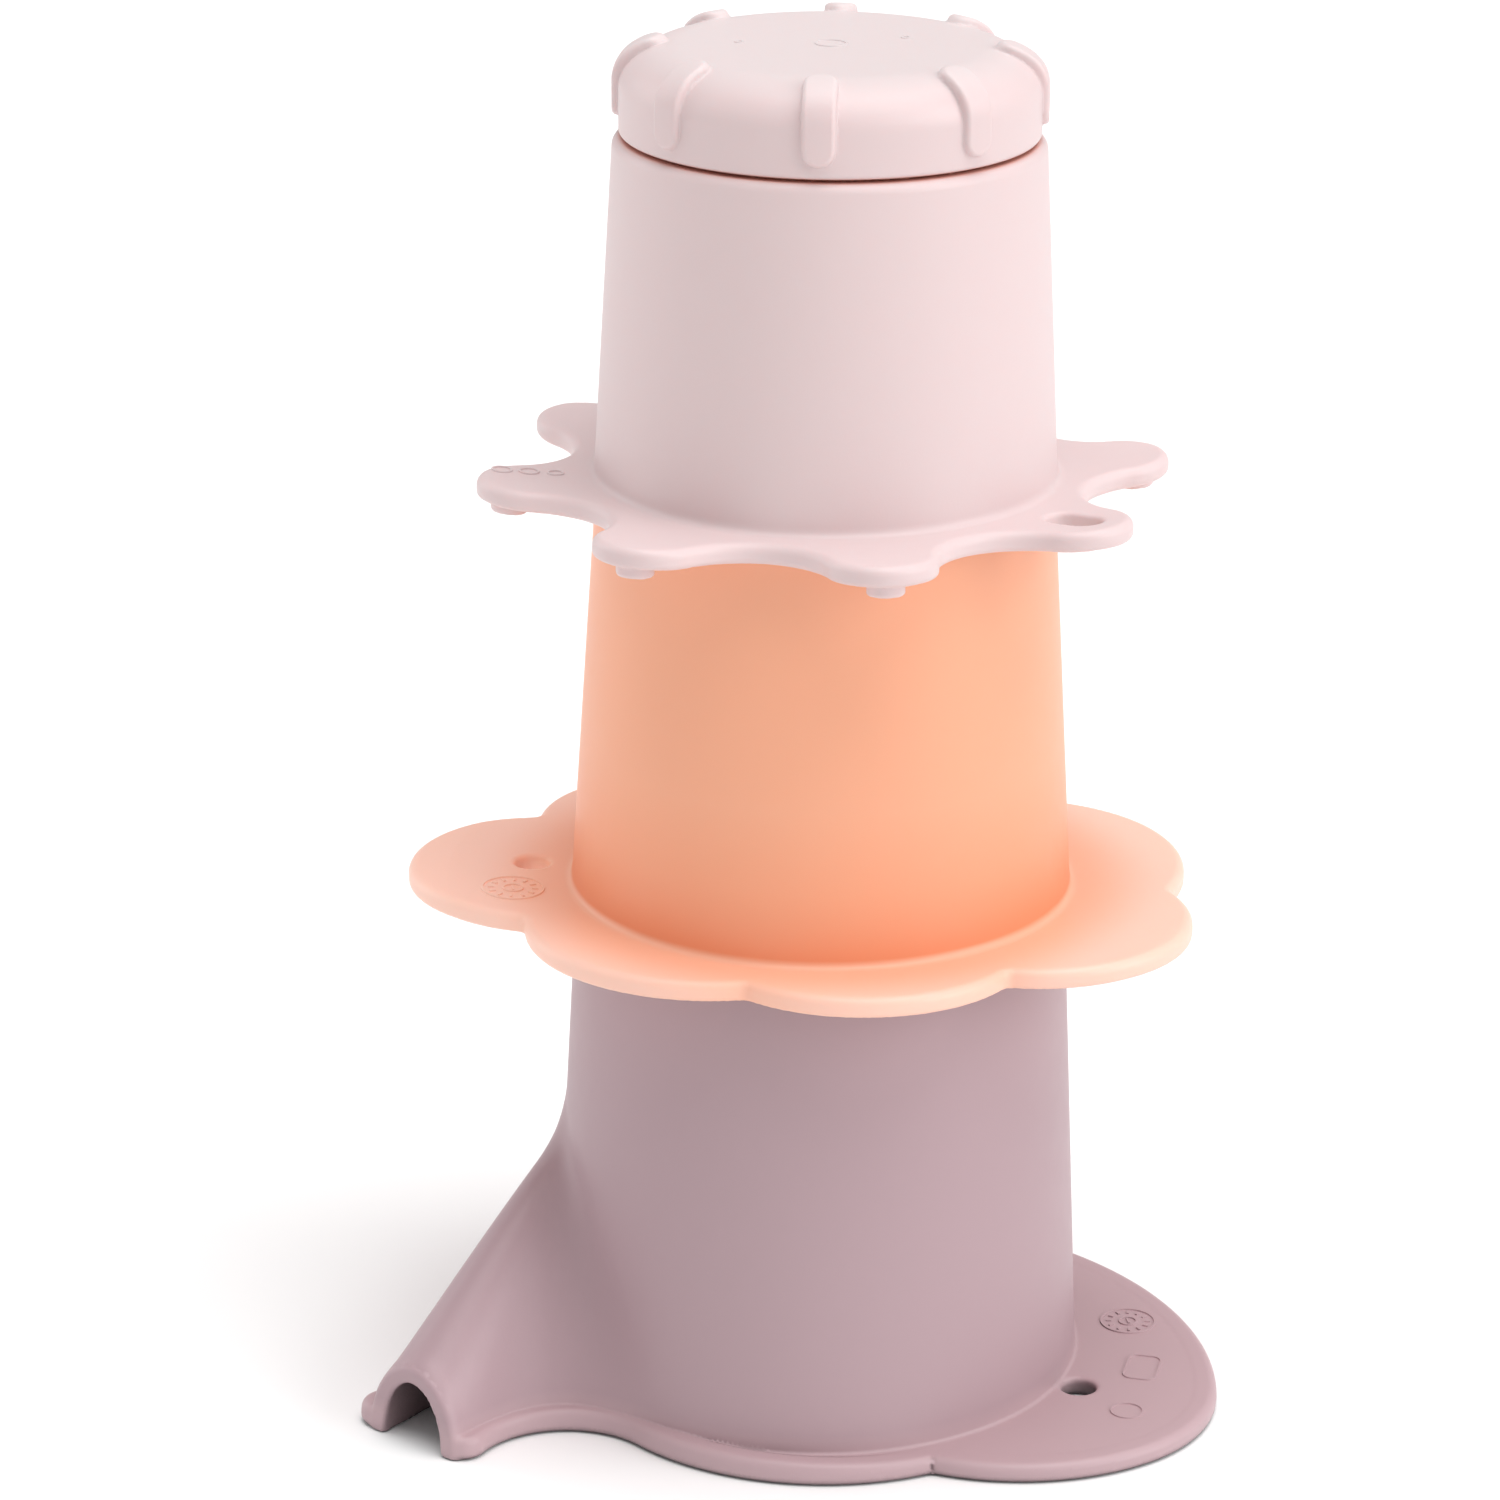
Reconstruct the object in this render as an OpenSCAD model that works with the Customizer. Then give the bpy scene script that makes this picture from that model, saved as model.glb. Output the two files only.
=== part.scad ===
// Stacking cup tower: three bath cups that stand upside down on each other's
// shoulders, and a closing cap.
// Millimetres, +Z up. The origin is on the tower's axis, on the plane that the
// base cup's rim stands on. The mouth of the spout points towards -X.

/* [Stack] */
// Height of the base cup, from its rim to its shoulder
base_h = 76.2; // [68:0.1:90]
// Height of the middle cup
middle_h = 63.6; // [56:0.1:72]
// Height of the top cup
top_h = 52.6; // [46:0.1:62]
// Height of the cap
cap_h = 13.5; // [12:0.1:16]

/* [Cup walls] */
// Outer radius of the base cup where its wall leaves the rim
base_mouth_r = 40.3; // [39.8:0.1:41]
// Outer radius of the base cup at its shoulder
base_shoulder_r = 36.7; // [36.2:0.1:37]
// Outer radius of the middle cup at its shoulder
middle_shoulder_r = 33.5; // [33:0.1:34]
// Outer radius of the top cup at its shoulder
top_shoulder_r = 31.4; // [31.2:0.1:32]
// Outer radius of the cap's side
cap_r = 30.2; // [29.6:0.1:30.4]
// Thickness of every wall and closed end
wall = 2.2; // [1.8:0.1:2.3]

/* [Fit] */
// How far a wall stands out past the shoulder that carries it
overhang = 0.6; // [0.4:0.1:0.8]
// Gap all round between a boss and the mouth over it
fit_gap = 0.3; // [0.2:0.05:0.4]
// Height of the boss on each closed end
boss_h = 5; // [3:0.5:7]

/* [Rims] */
// Thickness of the shaped rims
rim_t = 3; // [2.6:0.1:3.4]
// Diameter of the holes for hanging a cup up
hang_hole_d = 5.3; // [4.6:0.1:6]

/* [Base rim] */
// Radius of the rim's plain back
back_r = 44.6; // [44:0.1:46]
// Radius of the front of the rim, between the spout and the lobe
front_r = 37.4; // [37:0.1:37.8]
// Radius of the lobe's long outer side
side_r = 57.7; // [56:0.1:59]
// Radius of the lobe's corner
corner_r = 27.2; // [26:0.1:28]
// Radius of the lobe's front
lobe_r = 34.3; // [34:0.1:35]
// Radius of the hollow sweep from the spout to the rim's front
sweep_r = 14; // [13:0.1:15]

/* [Spout] */
// Half width of the spout's walls at the floor
spout_w = 8.6; // [8:0.1:9.2]
// Height of the spout's mouth
spout_h = 12.5; // [11:0.1:13.5]
// Rise of the spout's crest for each millimetre towards the cup
spout_rise = 0.683; // [0.6:0.01:0.72]
// How far the lip round the mouth stands out
lip = 0.8; // [0.4:0.1:1]
// Radius of the blend between the spout's flank and the cup
blend_r = 15; // [13:0.5:17]
// Radius of the small foot at each side of the mouth
foot_r = 3.6; // [3.2:0.1:3.8]

/* [Middle rim] */
// Reach of the wavy rim from the axis, at its broadest lobe
wave_r = 56; // [54:0.1:58]
// Direction of the lobe with the hanging hole
middle_turn = 147; // [0:1:359]

/* [Top rim] */
// Direction of the first of the arms
arm_turn = -108.4; // [-180:0.1:180]
// Number of arms
arms = 8; // [8:1:9]
// Reach of the arms from the axis
arm_reach = 51.2; // [50:0.1:53]
// Radius of an arm's round end
arm_r = 8; // [7.2:0.1:8.2]
// Radius at which the hollows between the arms stop
valley_r = 38.5; // [37.8:0.1:39.5]
// Length of the slot in one arm
slot_l = 8; // [7:0.1:9]
// Width of that slot
slot_w = 5; // [4.4:0.1:5.4]
// Diameter of the feet under the other arms
foot_d = 5.4; // [4.6:0.1:6]
// Height of those feet
foot_h = 2; // [1.6:0.1:2.6]

/* [Cap] */
// Rounding of the cap's upper edge
cap_e = 6.5; // [5.5:0.1:7]
// Number of ribs round the cap
ribs = 8; // [6:1:10]
// Direction of the first rib
rib_turn = -121.9; // [-180:0.1:180]
// Width of a rib
rib_w = 5.1; // [4.4:0.1:6]
// How far a rib stands out
rib_t = 0.8; // [0.5:0.1:1]

/* [Hidden] */
$fn = 96;

// Small roundings
shoulder_e = 0.8;
crown_e = 1.5;
boss_e = 0.8;
wall_foot_e = 0.8;
cap_low_e = 0.8;
// Cuts run this far past the solid they open
past = 1;

// Levels of the pieces in the tower
middle_z = base_h;
top_z = base_h + middle_h;
cap_z = base_h + middle_h + top_h;

// Each mouth is a little wider than the shoulder under it
middle_mouth_r = base_shoulder_r + overhang;
top_mouth_r = middle_shoulder_r + overhang;
base_boss_r = middle_mouth_r - wall - fit_gap;
middle_boss_r = top_mouth_r - wall - fit_gap;
top_boss_r = cap_r - wall - fit_gap;

// ---- plane geometry -------------------------------------------------------

function polar(r, a) = [r * cos(a), r * sin(a)];
function heading(v) = atan2(v[1], v[0]);

// Where circles of radius a about p and radius b about q meet, on the right of
// the way from p to q. Circles that only touch meet at their point of contact.
function meeting(p, a, q, b) =
    let (d = norm(q - p))
    let (x = (a * a - b * b + d * d) / (2 * d))
    let (y = sqrt(max(0, a * a - x * x)))
    let (e = (q - p) / d)
    p + e * x + y * [e[1], -e[0]];

// Points of a circular arc in a profile
function arc(c, r, from, to, steps = 6) =
    [for (i = [0:steps]) c + polar(r, from + (to - from) * i / steps)];

// ---- rims -----------------------------------------------------------------

// A rim's outline is a chain of arcs, counter-clockwise. Each arc is
// [centre, radius, way]: way is 1 where it bulges out and -1 where it hollows in.
// Neighbours meet at a crease where they cross, and smoothly where they touch.
function joint(a, b) = meeting(a[0], a[1], b[0], b[1]);

// Points of one arc from p up to, but without, q
function stretch(a, p, q) =
    let (from = heading(p - a[0]))
    let (swing = a[2] * (heading(q - a[0]) - from))
    let (turn = a[2] * (swing - 360 * floor(swing / 360)))
    let (steps = ceil(abs(turn) / 4))
    [for (i = [0:steps - 1]) a[0] + polar(a[1], from + turn * i / steps)];

function outline(arcs, start, end) =
    let (n = len(arcs))
    [
        for (i = [0:n - 1])
            let (p = i == 0 ? start : joint(arcs[i - 1], arcs[i]))
            let (q = i == n - 1 ? end : joint(arcs[i], arcs[i + 1]))
            each stretch(arcs[i], p, q)
    ];

// Outline that closes on itself
function ring(arcs) =
    let (seam = joint(arcs[len(arcs) - 1], arcs[0]))
    outline(arcs, seam, seam);

// ---- cups -----------------------------------------------------------------

// Solid outside of a cup: drafted wall, rounded shoulder and boss
module cup_outside(h, mouth_r, shoulder_r, boss_r, e) {
    rotate_extrude()
        polygon(concat(
            [[0, 0], [mouth_r + wall_foot_e, 0], [mouth_r + wall_foot_e, rim_t]],
            arc([mouth_r + wall_foot_e, rim_t + wall_foot_e], wall_foot_e, 260, 190, 3),
            arc([shoulder_r - e, h - e], e, 0, 90),
            [[boss_r, h]],
            arc([boss_r - boss_e, h + boss_h - boss_e], boss_e, 0, 90, 3),
            [[0, h + boss_h]]
        ));
}

// Space inside a cup, open downwards
module cup_inside(h, mouth_r, shoulder_r, boss_r) {
    draft = (mouth_r - shoulder_r) / (h - rim_t);
    rotate_extrude()
        polygon([
            [0, -past],
            [mouth_r - wall + draft * (rim_t + past), -past],
            [shoulder_r - wall + draft * wall, h - wall],
            [boss_r - wall, h - wall],
            [boss_r - wall, h + boss_h - wall],
            [0, h + boss_h - wall]
        ]);
}

// ---- base cup -------------------------------------------------------------

// The spout is a straight hood that meets the cup off its axis. Along it, u
// runs back from the mouth and v to its left.
mouth = [-68, 0];
spout_turn = 22.8;
along = polar(1, spout_turn);
across = polar(1, spout_turn + 90);
function from_spout(u, v) = mouth + u * along + v * across;

axis_u = -mouth * along;
axis_v = -mouth * across;

// Where the blends of the two flanks start, and where they meet the cup
blend_v = spout_w + blend_r;
right_u = axis_u - sqrt(pow(base_mouth_r + blend_r, 2) - pow(axis_v + blend_v, 2));
left_u = axis_u - sqrt(pow(base_mouth_r + blend_r, 2) - pow(axis_v - blend_v, 2));
meet = base_mouth_r / (base_mouth_r + blend_r);
right_meet_u = axis_u + (right_u - axis_u) * meet;
left_meet_u = axis_u + (left_u - axis_u) * meet;

// Half width of the hood at u, on a side whose blend runs from start to stop
function flank(u, start, stop) =
    let (s = max(0, min(u, stop) - start))
    blend_v - sqrt(blend_r * blend_r - s * s);

// Swelling of the hood into the lip round its mouth
lip_l = 2.6;
function swell(u) =
    let (s = (u - lip_l / 2 + lip) / (lip_l / 2))
    abs(s) >= 1 ? 0 : lip * sqrt(1 - s * s);

function crest(u) = spout_h + spout_rise * max(0, u);

// One cross-section of the hood, shrunk by t, from the right foot over the
// crest to the left foot
arch_steps = 24;
arch_power = 2 / 2.3;
function arch(u, t, floor_z) = [
    for (i = [0:arch_steps])
        let (a = 180 * i / arch_steps)
        let (w = a < 90 ? flank(u, right_u, right_meet_u) : flank(u, left_u, left_meet_u))
        let (p = from_spout(u, -sign(cos(a)) * pow(abs(cos(a)), arch_power) * (w - t)))
        [p[0], p[1], floor_z + pow(sin(a), arch_power) * (crest(u) - t - floor_z)]
];

// Hood through cross-sections at the stations us, each shrunk by one of ts
module hood(us, ts, floor_z) {
    n = arch_steps + 1;
    last = (len(us) - 1) * n;
    points = [for (k = [0:len(us) - 1]) each arch(us[k], ts[k], floor_z)];
    skin = [
        for (k = [0:len(us) - 2])
            for (i = [0:n - 1])
                let (j = (i + 1) % n)
                each [
                    [k * n + i, k * n + j, k * n + n + j],
                    [k * n + i, k * n + n + j, k * n + n + i]
                ]
    ];
    front = [for (i = [n - 1:-1:0]) i];
    back = [for (i = [0:n - 1]) last + i];
    polyhedron(points, concat(skin, [front, back]));
}

module spout_outside() {
    us = concat([for (i = [0:6]) -lip + lip_l * i / 6], [for (i = [1:14]) 3 + 43 * i / 14]);
    hood(us, [for (u = us) -swell(u)], 0);
}

module spout_inside() {
    us = concat([-lip - past, 0], [for (i = [1:15]) 47 * i / 15]);
    hood(us, [for (u = us) wall + 0.5], -past);
}

// Rim of the base cup: feet of the spout, hollow sweeps, front, lobe and back
module base_rim() {
    front = [-3, -7];
    side = polar(side_r - back_r, -102.6);
    corner = side + polar(side_r - corner_r, -32.5);
    lobe = corner - polar(lobe_r - corner_r, -81.3);
    far_sweep_r = 80;
    right_foot = from_spout(foot_r - lip, -7.1);
    left_foot = from_spout(foot_r - lip, 8.7);
    sweep = meeting(right_foot, foot_r + sweep_r, front, front_r + sweep_r);
    far_sweep = meeting([0, 0], back_r + far_sweep_r, left_foot, foot_r + far_sweep_r);
    arcs = [
        [right_foot, foot_r, 1],
        [sweep, sweep_r, -1],
        [front, front_r, 1],
        [lobe, lobe_r, 1],
        [corner, corner_r, 1],
        [side, side_r, 1],
        [[0, 0], back_r, 1],
        [far_sweep, far_sweep_r, -1],
        [left_foot, foot_r, 1]
    ];
    linear_extrude(rim_t)
        polygon(outline(arcs, right_foot - foot_r * along, left_foot - foot_r * along));
}

base_hole = polar(43.5, -51.5);

module base_cup() {
    color([0.70, 0.60, 0.61])
        difference() {
            union() {
                cup_outside(base_h, base_mouth_r, base_shoulder_r, base_boss_r, shoulder_e);
                base_rim();
                spout_outside();
            }
            cup_inside(base_h, base_mouth_r, base_shoulder_r, base_boss_r);
            spout_inside();
            translate([base_hole[0], base_hole[1], -past])
                cylinder(h = rim_t + 2 * past, d = hang_hole_d);
        }
}

// ---- middle cup -----------------------------------------------------------

// The wavy rim is a ring of round lobes. Each has its direction from the first
// lobe, then its reach from the axis and its radius as shares of wave_r.
lobes = [
    [0, 1.111, 0.375],
    [49, 0.9, 0.475],
    [107.5, 0.886, 0.434],
    [159.4, 1.038, 0.402],
    [199.6, 1, 0.5],
    [258, 0.929, 0.446],
    [320, 0.946, 0.361]
];
lobe_arcs = [
    for (l = lobes) [wave_r * polar(l[1] - l[2], middle_turn + l[0]), wave_r * l[2], 1]
];
middle_hole = wave_r * polar(0.7804, middle_turn - 1.3);

module middle_cup() {
    color([0.96, 0.69, 0.54])
        translate([0, 0, middle_z])
            difference() {
                union() {
                    cup_outside(middle_h, middle_mouth_r, middle_shoulder_r,
                        middle_boss_r, shoulder_e);
                    linear_extrude(rim_t)
                        polygon(ring(lobe_arcs));
                }
                cup_inside(middle_h, middle_mouth_r, middle_shoulder_r, middle_boss_r);
                translate([middle_hole[0], middle_hole[1], -past])
                    cylinder(h = rim_t + 2 * past, d = hang_hole_d);
            }
}

// ---- top cup --------------------------------------------------------------

slotted_arm = 1;
slot_at = 42.7;
foot_at = 46.5;

// Arms with round ends, and hollows between them that run into the ends
module arm_rim() {
    step = 360 / arms;
    end_at = arm_reach - arm_r;
    // Radius of a hollow that touches both ends beside it
    a = end_at * end_at + valley_r * valley_r - 2 * end_at * valley_r * cos(step / 2);
    b = 2 * (end_at * cos(step / 2) - valley_r + arm_r);
    gap_r = (a - arm_r * arm_r) / b;
    arcs = [
        for (i = [0:arms - 1])
            each [
                [polar(end_at, arm_turn + i * step), arm_r, 1],
                [polar(valley_r + gap_r, arm_turn + (i + 0.5) * step), gap_r, -1]
            ]
    ];
    linear_extrude(rim_t)
        polygon(ring(arcs));
}

// Small round foot below the rim
module arm_foot() {
    rotate_extrude()
        polygon(concat(
            [[0, 0], [foot_d / 2, 0]],
            arc([foot_d / 2 - 0.5, 0.5 - foot_h], 0.5, 0, -90, 3),
            [[0, -foot_h]]
        ));
}

module top_cup() {
    color([0.93, 0.85, 0.84])
        translate([0, 0, top_z])
            difference() {
                union() {
                    cup_outside(top_h, top_mouth_r, top_shoulder_r, top_boss_r, crown_e);
                    arm_rim();
                    for (i = [0:arms - 1])
                        if (i != slotted_arm)
                            rotate([0, 0, arm_turn + i * 360 / arms])
                                translate([foot_at, 0, 0])
                                    arm_foot();
                }
                cup_inside(top_h, top_mouth_r, top_shoulder_r, top_boss_r);
                rotate([0, 0, arm_turn + slotted_arm * 360 / arms])
                    translate([slot_at, 0, -past])
                        slot(rim_t + 2 * past);
            }
}

// Slot with round ends, along the arm
module slot(h) {
    half = (slot_l - slot_w) / 2;
    for (x = [-half, half])
        translate([x, 0, 0])
            cylinder(h = h, d = slot_w);
    translate([-half, -slot_w / 2, 0])
        cube([2 * half, slot_w, h]);
}

// ---- cap ------------------------------------------------------------------

// Outside of the cap, grown by t
module cap_outside(t) {
    rotate_extrude()
        polygon(concat(
            [[0, 0]],
            arc([cap_r + t - cap_low_e, cap_low_e], cap_low_e, -90, 0, 3),
            arc([cap_r - cap_e, cap_h - cap_e], cap_e + t, 0, 90, 8),
            [[0, cap_h + t]]
        ));
}

module cap_inside() {
    inner_e = cap_e - wall;
    rotate_extrude()
        polygon(concat(
            [[0, -past], [cap_r - wall, -past]],
            arc([cap_r - cap_e, cap_h - cap_e], inner_e, 0, 90),
            [[0, cap_h - wall]]
        ));
}

// Grip ribs: pill shapes that follow the cap's side and its rounded edge
module cap_ribs() {
    rib_low = 2;
    rib_in = 22.5;
    intersection() {
        cap_outside(rib_t);
        for (i = [0:ribs - 1])
            rotate([0, 0, rib_turn + i * 360 / ribs])
                rib_block(rib_in + rib_w / 2, rib_low + rib_w / 2);
    }
}

// Upright and level pill prisms crossed: round in plan and from the side
module rib_block(x, z) {
    far = cap_r + 2 * rib_t;
    intersection() {
        union() {
            translate([x, 0, 0])
                cylinder(h = cap_h + 2 * rib_t, d = rib_w);
            translate([x, -rib_w / 2, 0])
                cube([far - x, rib_w, cap_h + 2 * rib_t]);
        }
        union() {
            translate([0, 0, z])
                rotate([0, 90, 0])
                    cylinder(h = far, d = rib_w);
            translate([0, -rib_w / 2, z])
                cube([far, rib_w, cap_h]);
        }
    }
}

module cap() {
    color([0.94, 0.86, 0.85])
        translate([0, 0, cap_z])
            difference() {
                union() {
                    cap_outside(0);
                    cap_ribs();
                }
                cap_inside();
            }
}

base_cup();
middle_cup();
top_cup();
cap();
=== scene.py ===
import math

import bpy
import numpy as np
from mathutils import Matrix, Vector


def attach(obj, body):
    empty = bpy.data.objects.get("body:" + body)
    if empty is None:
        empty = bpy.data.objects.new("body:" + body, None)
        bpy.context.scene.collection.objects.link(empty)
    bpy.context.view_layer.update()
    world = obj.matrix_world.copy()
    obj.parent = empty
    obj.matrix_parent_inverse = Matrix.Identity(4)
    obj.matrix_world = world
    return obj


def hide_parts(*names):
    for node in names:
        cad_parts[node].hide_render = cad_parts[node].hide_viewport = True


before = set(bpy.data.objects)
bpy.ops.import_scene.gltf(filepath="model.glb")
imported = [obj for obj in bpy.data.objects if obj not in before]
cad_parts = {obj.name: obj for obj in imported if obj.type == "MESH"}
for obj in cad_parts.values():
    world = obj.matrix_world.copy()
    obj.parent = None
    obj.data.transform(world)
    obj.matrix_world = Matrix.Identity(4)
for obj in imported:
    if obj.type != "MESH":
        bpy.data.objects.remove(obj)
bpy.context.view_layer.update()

MM = 0.001

# ------------------------------------------------------------------ distances
# Every shape below is a signed distance in millimetres, negative inside.


def round_and(a, b, e):
    """Both, with the edge between them rounded to the radius e."""
    a, b = a + e, b + e
    return np.hypot(np.maximum(a, 0), np.maximum(b, 0)) + np.minimum(np.maximum(a, b), 0) - e


def soft_or(a, b, k):
    """Either, with a fillet that starts where the two are k apart."""
    h = np.maximum(k - np.abs(a - b), 0)
    return np.minimum(a, b) - h * h / (4 * k)


def soft_and(a, b, k):
    """Both, with the edge between them softened likewise."""
    return -soft_or(-a, -b, k)


def polar(r, angle):
    """Point at a distance and an angle in degrees from the axis."""
    a = math.radians(angle)
    return np.array([r * math.cos(a), r * math.sin(a)])


def meeting(p, a, q, b):
    """Where a circle of radius a about p meets one of radius b about q, right of p to q."""
    d = math.dist(p, q)
    x = (a * a - b * b + d * d) / (2 * d)
    y = math.sqrt(max(0.0, a * a - x * x))
    e = (np.array(q) - p) / d
    return p + e * x + y * np.array([e[1], -e[0]])


class Outline:
    """A closed chain of arcs in the plane; calling it gives the signed distance to it.

    Each arc is (centre, radius, way); way is 1 where it bulges out and -1 where it hollows
    in. The distance is looked up in a table, which reaches MARGIN past the arcs; those of
    FLAT_R and more don't count.
    """

    FLAT_R = 70
    MARGIN = 4

    def __init__(self, arcs, step=0.2):
        n = len(arcs)
        knots = [
            meeting(arcs[i - 1][0], arcs[i - 1][1], arcs[i][0], arcs[i][1]) for i in range(n)
        ]
        reach = max(float(np.hypot(*c)) + r for c, r, way in arcs if r < self.FLAT_R)
        reach += self.MARGIN
        self.low, self.step = -reach, step
        axis = np.arange(-reach, reach + step, step)
        x, y = np.meshgrid(axis, axis, indexing="ij")
        best = np.full(x.shape, 1e9)
        sign = np.ones(x.shape)
        for i, (c, r, way) in enumerate(arcs):
            p, q = knots[i], knots[(i + 1) % n]
            start = math.atan2(p[1] - c[1], p[0] - c[0])
            span = (way * (math.atan2(q[1] - c[1], q[0] - c[0]) - start)) % (2 * math.pi)
            at = (way * (np.arctan2(y - c[1], x - c[0]) - start)) % (2 * math.pi)
            gap = np.hypot(x - c[0], y - c[1]) - r
            d = np.where(at <= span, np.abs(gap), 1e9)
            sign = np.where(d < best, np.sign(gap) * way, sign)
            best = np.minimum(best, d)
        self.table = best * sign

    def __call__(self, x, y):
        x, y = np.broadcast_arrays(x, y)
        n = self.table.shape[0] - 2
        u = np.clip((x - self.low) / self.step, 0, n)
        v = np.clip((y - self.low) / self.step, 0, n)
        i, j = u.astype(int), v.astype(int)
        u, v = u - i, v - j
        t = self.table
        near = t[i, j] * (1 - v) + t[i, j + 1] * v
        far = t[i + 1, j] * (1 - v) + t[i + 1, j + 1] * v
        return near * (1 - u) + far * u


# ------------------------------------------------------------------ meshing

PROBE = 0.02
PASSES = 3
LEAST_SLOPE = 0.2


def slope_of(shape, points):
    """Gradient of the distance at the points."""
    parts = []
    for k in range(3):
        d = np.zeros(3)
        d[k] = PROBE
        parts.append((shape(*(points + d).T) - shape(*(points - d).T)) / (2 * PROBE))
    return np.stack(parts, axis=1)


def skin(name, shape, low, high, step, level=0.0):
    """Mesh of the surface where shape is 0, with its exact normals.

    The grid from low to high gives one point per cell that the surface crosses, and the
    points are then moved onto the surface. Level is added to z.
    """
    axes = [np.arange(a, b + step, step) for a, b in zip(low, high)]
    x, y, z = axes[0][:, None, None], axes[1][None, :, None], axes[2][None, None, :]
    value = np.asarray(shape(x, y, z), dtype=np.float32)
    stride = np.array([value.shape[1] * value.shape[2], value.shape[2], 1])
    # Each grid edge that the surface crosses becomes a quad of the four cells round it.
    cells, crossings = [], []
    for a in range(3):
        head = [slice(None)] * 3
        tail = [slice(None)] * 3
        head[a], tail[a] = slice(None, -1), slice(1, None)
        first, second = value[tuple(head)], value[tuple(tail)]
        at = np.argwhere((first < 0) != (second < 0))
        f, s = first[tuple(at.T)], second[tuple(at.T)]
        point = at.astype(float)
        point[:, a] += f / (f - s)
        b, c = stride[(a + 1) % 3], stride[(a + 2) % 3]
        corner = at @ stride
        four = np.stack([corner - b - c, corner - c, corner, corner - b], axis=1)
        four[f > 0] = four[f > 0][:, ::-1]
        cells.append(four)
        crossings.append(point)
    cells, crossings = np.concatenate(cells), np.concatenate(crossings)
    # Each cell's point is the mean of the crossings on its edges.
    inverse = np.unique(cells, return_inverse=True)[1].reshape(-1)
    count = np.bincount(inverse)
    points = np.stack(
        [np.bincount(inverse, np.repeat(crossings[:, k], 4)) / count for k in range(3)], axis=1
    )
    points = np.array(low) + points * step
    for _ in range(PASSES):
        g = slope_of(shape, points)
        move = shape(*points.T) / np.maximum((g * g).sum(axis=1), LEAST_SLOPE)
        move = np.clip(move, -step, step)
        points = points - g * move[:, None]
    g = slope_of(shape, points)
    normals = g / np.maximum(np.linalg.norm(g, axis=1), 1e-6)[:, None]
    points[:, 2] += level
    quads = inverse.reshape(-1, 4)
    mesh = bpy.data.meshes.new(name)
    mesh.vertices.add(len(points))
    mesh.vertices.foreach_set("co", (points * MM).ravel())
    mesh.loops.add(quads.size)
    mesh.loops.foreach_set("vertex_index", quads.ravel().astype(np.int32))
    mesh.polygons.add(len(quads))
    mesh.polygons.foreach_set("loop_start", np.arange(0, quads.size, 4, dtype=np.int32))
    mesh.update(calc_edges=True)
    mesh.validate()
    mesh.polygons.foreach_set("use_smooth", np.ones(len(mesh.polygons), dtype=bool))
    mesh.normals_split_custom_set_from_vertices([tuple(v) for v in normals])
    obj = bpy.data.objects.new(name, mesh)
    bpy.context.collection.objects.link(obj)
    return obj


# ---------------------------------------------------------------------- sizes
# In millimetres and degrees, about the frame's own axes. A cup's radii are those of its
# mouth, its shoulder and its boss.

BASE_H, MIDDLE_H, TOP_H, CAP_H = 76.2, 63.6, 52.6, 13.5
MIDDLE_Z = BASE_H
TOP_Z = MIDDLE_Z + MIDDLE_H
CAP_Z = TOP_Z + TOP_H
WALL = 2.2
RIM = 3.0
BOSS = 5.0
CAP_R = 30.2
BASE_RADII = (40.3, 36.7, 34.8)
MIDDLE_RADII = (37.35, 33.6, 31.6)
MIDDLE_INNER_RADII = (37.3, 33.5, 31.6)
TOP_RADII = (33.8, 31.1, 27.7)
BASE_SHOULDER, MIDDLE_SHOULDER, TOP_SHOULDER = 0.8, 0.8, 1.5
BASE_RIM_LOW, MIDDLE_RIM_LOW, TOP_RIM_LOW = 1.1, 0.7, 0.8
RIM_EDGE = 1.4
RIM_FILLET = 1.2
BOSS_EDGE, BOSS_FILLET = 0.8, 0.5
INNER_EDGE, INNER_BOSS_EDGE = 0.8, 0.5
MOUTH_EDGE = 0.6
HANG_R, HOLE_EDGE = 2.65, 0.9

# Spacing of the meshing grids.
STEP, CAP_STEP = 0.55, 0.4


def cup_solid(r, z, h, radii, e):
    """Outside of a cup: drafted wall, shoulder rounded to e, and boss."""
    mouth, shoulder, boss = radii
    draft = (mouth - shoulder) / (h - RIM)
    wall = (r - (mouth - (z - RIM) * draft)) / math.hypot(1, draft)
    body = round_and(wall, z - h, e)
    top = round_and(r - boss, z - (h + BOSS), BOSS_EDGE)
    return soft_or(body, top, BOSS_FILLET)


def cup_hollow(r, z, h, radii):
    """Space inside a cup, a wall's thickness within its outside."""
    mouth, shoulder, boss = radii
    draft = (mouth - shoulder) / (h - RIM)
    wall = (r - (mouth - WALL - (z - RIM) * draft)) / math.hypot(1, draft)
    body = round_and(wall, z - (h - WALL), INNER_EDGE)
    top = round_and(r - (boss - WALL), z - (h + BOSS - WALL), INNER_BOSS_EDGE)
    return soft_or(body, top, BOSS_FILLET)


def rim_solid(flat, z, top, low):
    """Plate within an outline, its upper edge rounded to top and its lower one to low."""
    return np.maximum(round_and(flat, z - RIM, top), round_and(flat, -z, low))


# ------------------------------------------------------------------- base cup

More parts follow.
